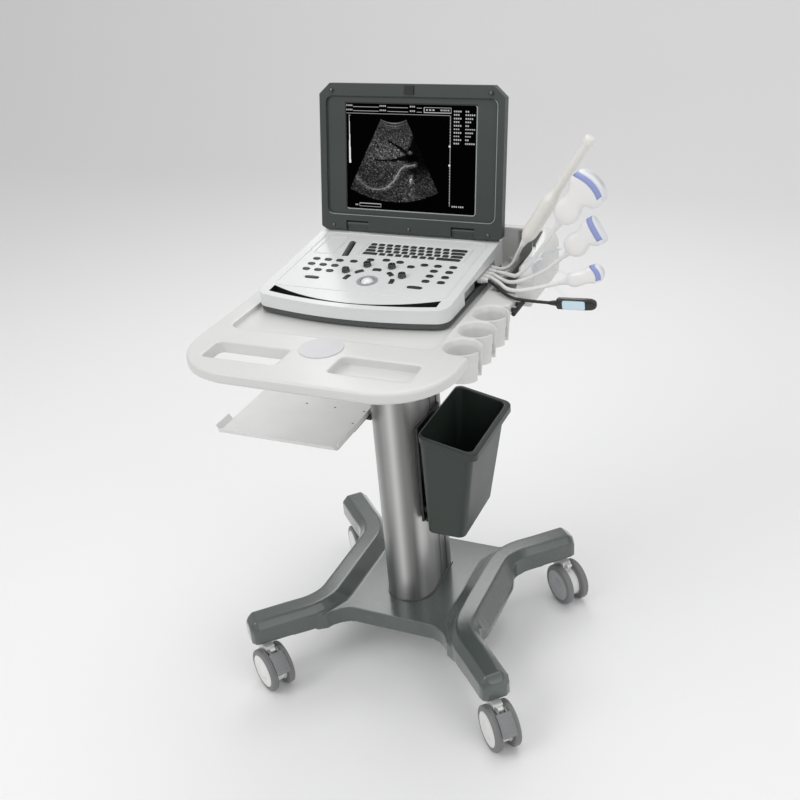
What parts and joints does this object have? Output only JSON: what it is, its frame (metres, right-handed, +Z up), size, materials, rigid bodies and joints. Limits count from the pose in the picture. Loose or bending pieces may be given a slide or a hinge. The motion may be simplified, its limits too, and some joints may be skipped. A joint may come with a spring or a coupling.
{
  "type": "trolley ultrasound scanner",
  "caption": "Notebook ultrasound scanner with a folding screen on a caster trolley, with a table, probe cups, bin, tray and probes.",
  "frame": {"origin": "on the floor under the column's round front and the table's centre line", "axes": "+X to the operator's right, -Y to the front where the operator stands, +Z up"},
  "size_m": [0.714, 0.6486, 1.1226],
  "materials": {
    "casting_paint": "satin",
    "steel": "brushed",
    "socket_plastic": "matt",
    "caster_white": "satin",
    "tyre": "matt",
    "pedal_grey": "matt",
    "column_metal": "brushed",
    "black_plastic": "matt",
    "table_plastic": "satin",
    "badge": "glossy",
    "bin_plastic": "satin",
    "tray_sheet": "satin",
    "case_white": "satin",
    "case_dark": "satin",
    "rubber": "matt",
    "board": "satin",
    "battery": "satin",
    "key_dark": "matt",
    "ball": "glossy",
    "socket_metal": "satin",
    "lid_dark": "satin",
    "lcd": "glossy",
    "clear": "clear",
    "probe_white": "satin",
    "probe_dark": "satin",
    "nose_blue": "satin",
    "cable_grey": "satin",
    "cable_black": "satin"
  },
  "bodies": {
    "root": {"base_casting": "casting_paint", "ballast_plate": "steel", "swivel_sockets": "socket_plastic", "column": "column_metal", "foot_ring": "column_metal", "cable_cover": "black_plastic", "table_frame": "steel", "table_top": "table_plastic", "badge_disc": "badge", "cable_hook": "black_plastic", "bin_bracket": "black_plastic", "tray": "tray_sheet", "tray_bracket": "black_plastic", "lower_case": "case_dark", "upper_case": "case_white", "rubber_feet": "rubber", "main_board": "board", "battery_pack": "battery", "trackball_ring": "socket_plastic", "probe_sockets": "socket_metal", "probe_plugs": "cable_grey", "hinge_brackets": "lid_dark", "probe_rack": "clear", "probe_endocavity": "probe_white", "probe_convex": "probe_white", "probe_linear": "probe_white", "probe_microconvex": "probe_white", "probe_rectal": "probe_dark", "probe_noses": "nose_blue", "cable_endocavity": "cable_grey", "cable_convex": "cable_grey", "cable_linear": "cable_grey", "cable_microconvex": "cable_grey", "cable_rectal": "cable_black"},
    "bin": {"bin": "bin_plastic"},
    "swivel_fl": {"caster_fork_fl": "caster_white"},
    "wheels_fl": {"caster_wheels_fl": "tyre"},
    "swivel_fr": {"caster_fork_fr": "caster_white"},
    "wheels_fr": {"caster_wheels_fr": "tyre"},
    "swivel_rr": {"caster_fork_rr": "caster_white"},
    "wheels_rr": {"caster_wheels_rr": "tyre"},
    "swivel_rl": {"caster_fork_rl": "caster_white"},
    "wheels_rl": {"caster_wheels_rl": "tyre"},
    "brake_fl": {"brake_pedal_fl": "pedal_grey"},
    "brake_fr": {"brake_pedal_fr": "pedal_grey"},
    "lid": {"screen_back": "lid_dark", "screen_bezel": "lid_dark", "lcd_panel": "lcd", "screen_bumpers": "rubber", "hinge_pins": "steel"},
    "latch": {"screen_latch": "black_plastic"},
    "trackball": {"trackball": "ball"},
    "knob_1": {"knob_1": "key_dark"},
    "knob_2": {"knob_2": "key_dark"},
    "knob_3": {"knob_3": "key_dark"},
    "knob_4": {"knob_4": "key_dark"},
    "letter_keys": {"letter_keys": "key_dark"},
    "function_buttons": {"function_buttons": "key_dark"},
    "arc_buttons": {"arc_buttons": "key_dark"},
    "tgc_sliders": {"tgc_sliders": "key_dark"}
  },
  "joints": [
    {"name": "bin_lift", "type": "slide", "parent": "root", "child": "bin", "axis": [0, 0, 1], "range_m": [0, 0.04]},
    {"name": "caster_swivel_fl", "type": "hinge", "parent": "root", "child": "swivel_fl", "pos_m": [-0.246, -0.226, 0.1], "axis": [0, 0, 1], "continuous": true},
    {"name": "wheel_roll_fl", "type": "hinge", "parent": "swivel_fl", "child": "wheels_fl", "pos_m": [-0.22056, -0.2419, 0.045], "axis": [0.5299, 0.848, 0], "continuous": true},
    {"name": "caster_swivel_fr", "type": "hinge", "parent": "root", "child": "swivel_fr", "pos_m": [0.246, -0.226, 0.1], "axis": [0, 0, 1], "continuous": true},
    {"name": "wheel_roll_fr", "type": "hinge", "parent": "swivel_fr", "child": "wheels_fr", "pos_m": [0.26684, -0.24758, 0.045], "axis": [0.7193, 0.6947, 0], "continuous": true},
    {"name": "caster_swivel_rr", "type": "hinge", "parent": "root", "child": "swivel_rr", "pos_m": [0.246, 0.226, 0.1], "axis": [0, 0, 1], "continuous": true},
    {"name": "wheel_roll_rr", "type": "hinge", "parent": "swivel_rr", "child": "wheels_rr", "pos_m": [0.26898, 0.20672, 0.045], "axis": [0.6428, 0.766, 0], "continuous": true},
    {"name": "caster_swivel_rl", "type": "hinge", "parent": "root", "child": "swivel_rl", "pos_m": [-0.246, 0.226, 0.1], "axis": [0, 0, 1], "continuous": true},
    {"name": "wheel_roll_rl", "type": "hinge", "parent": "swivel_rl", "child": "wheels_rl", "pos_m": [-0.22593, 0.20371, 0.045], "axis": [0.7431, 0.6691, 0], "continuous": true},
    {"name": "brake_lift_fl", "type": "hinge", "parent": "swivel_fl", "child": "brake_fl", "pos_m": [-0.21547, -0.24508, 0.09], "axis": [0.5299, 0.848, 0], "range_deg": [-8, 0]},
    {"name": "brake_lift_fr", "type": "hinge", "parent": "swivel_fr", "child": "brake_fr", "pos_m": [0.27101, -0.2519, 0.09], "axis": [0.7193, 0.6947, 0], "range_deg": [-8, 0]},
    {"name": "screen_hinge", "type": "hinge", "parent": "root", "child": "lid", "pos_m": [-0.014, 0.14, 0.864], "axis": [1, 0, 0], "range_deg": [-25, 105]},
    {"name": "latch_slide", "type": "slide", "parent": "lid", "child": "latch", "axis": [1, 0, 0], "range_m": [0, 0.005], "stiffness_N_per_m": 120},
    {"name": "trackball_roll", "type": "hinge", "parent": "root", "child": "trackball", "pos_m": [-0.016, -0.05758, 0.82622], "axis": [1, 0, 0], "continuous": true},
    {"name": "knob_turn_1", "type": "hinge", "parent": "root", "child": "knob_1", "pos_m": [-0.07124, -0.03014, 0.83638], "axis": [0, -0.0776, 0.997], "continuous": true},
    {"name": "knob_turn_2", "type": "hinge", "parent": "root", "child": "knob_2", "pos_m": [-0.04122, -0.00173, 0.83859], "axis": [0, -0.0776, 0.997], "continuous": true},
    {"name": "knob_turn_3", "type": "hinge", "parent": "root", "child": "knob_3", "pos_m": [0.00723, -0.00089, 0.83866], "axis": [0, -0.0776, 0.997], "continuous": true},
    {"name": "knob_turn_4", "type": "hinge", "parent": "root", "child": "knob_4", "pos_m": [0.04019, -0.03208, 0.83623], "axis": [0, -0.0776, 0.997], "continuous": true},
    {"name": "key_press", "type": "slide", "parent": "root", "child": "letter_keys", "axis": [0, 0.0776, -0.997], "range_m": [0, 0.0014], "stiffness_N_per_m": 900, "springref_m": -0.0006},
    {"name": "button_press", "type": "slide", "parent": "root", "child": "function_buttons", "axis": [0, 0.0776, -0.997], "range_m": [0, 0.0014], "stiffness_N_per_m": 900, "springref_m": -0.0006},
    {"name": "arc_button_press", "type": "slide", "parent": "root", "child": "arc_buttons", "axis": [0, 0.0776, -0.997], "range_m": [0, 0.0014], "stiffness_N_per_m": 900, "springref_m": -0.0006},
    {"name": "gain_slide", "type": "slide", "parent": "root", "child": "tgc_sliders", "axis": [0.9848, 0.1731, 0.0135], "range_m": [-0.002, 0.002]}
  ]
}
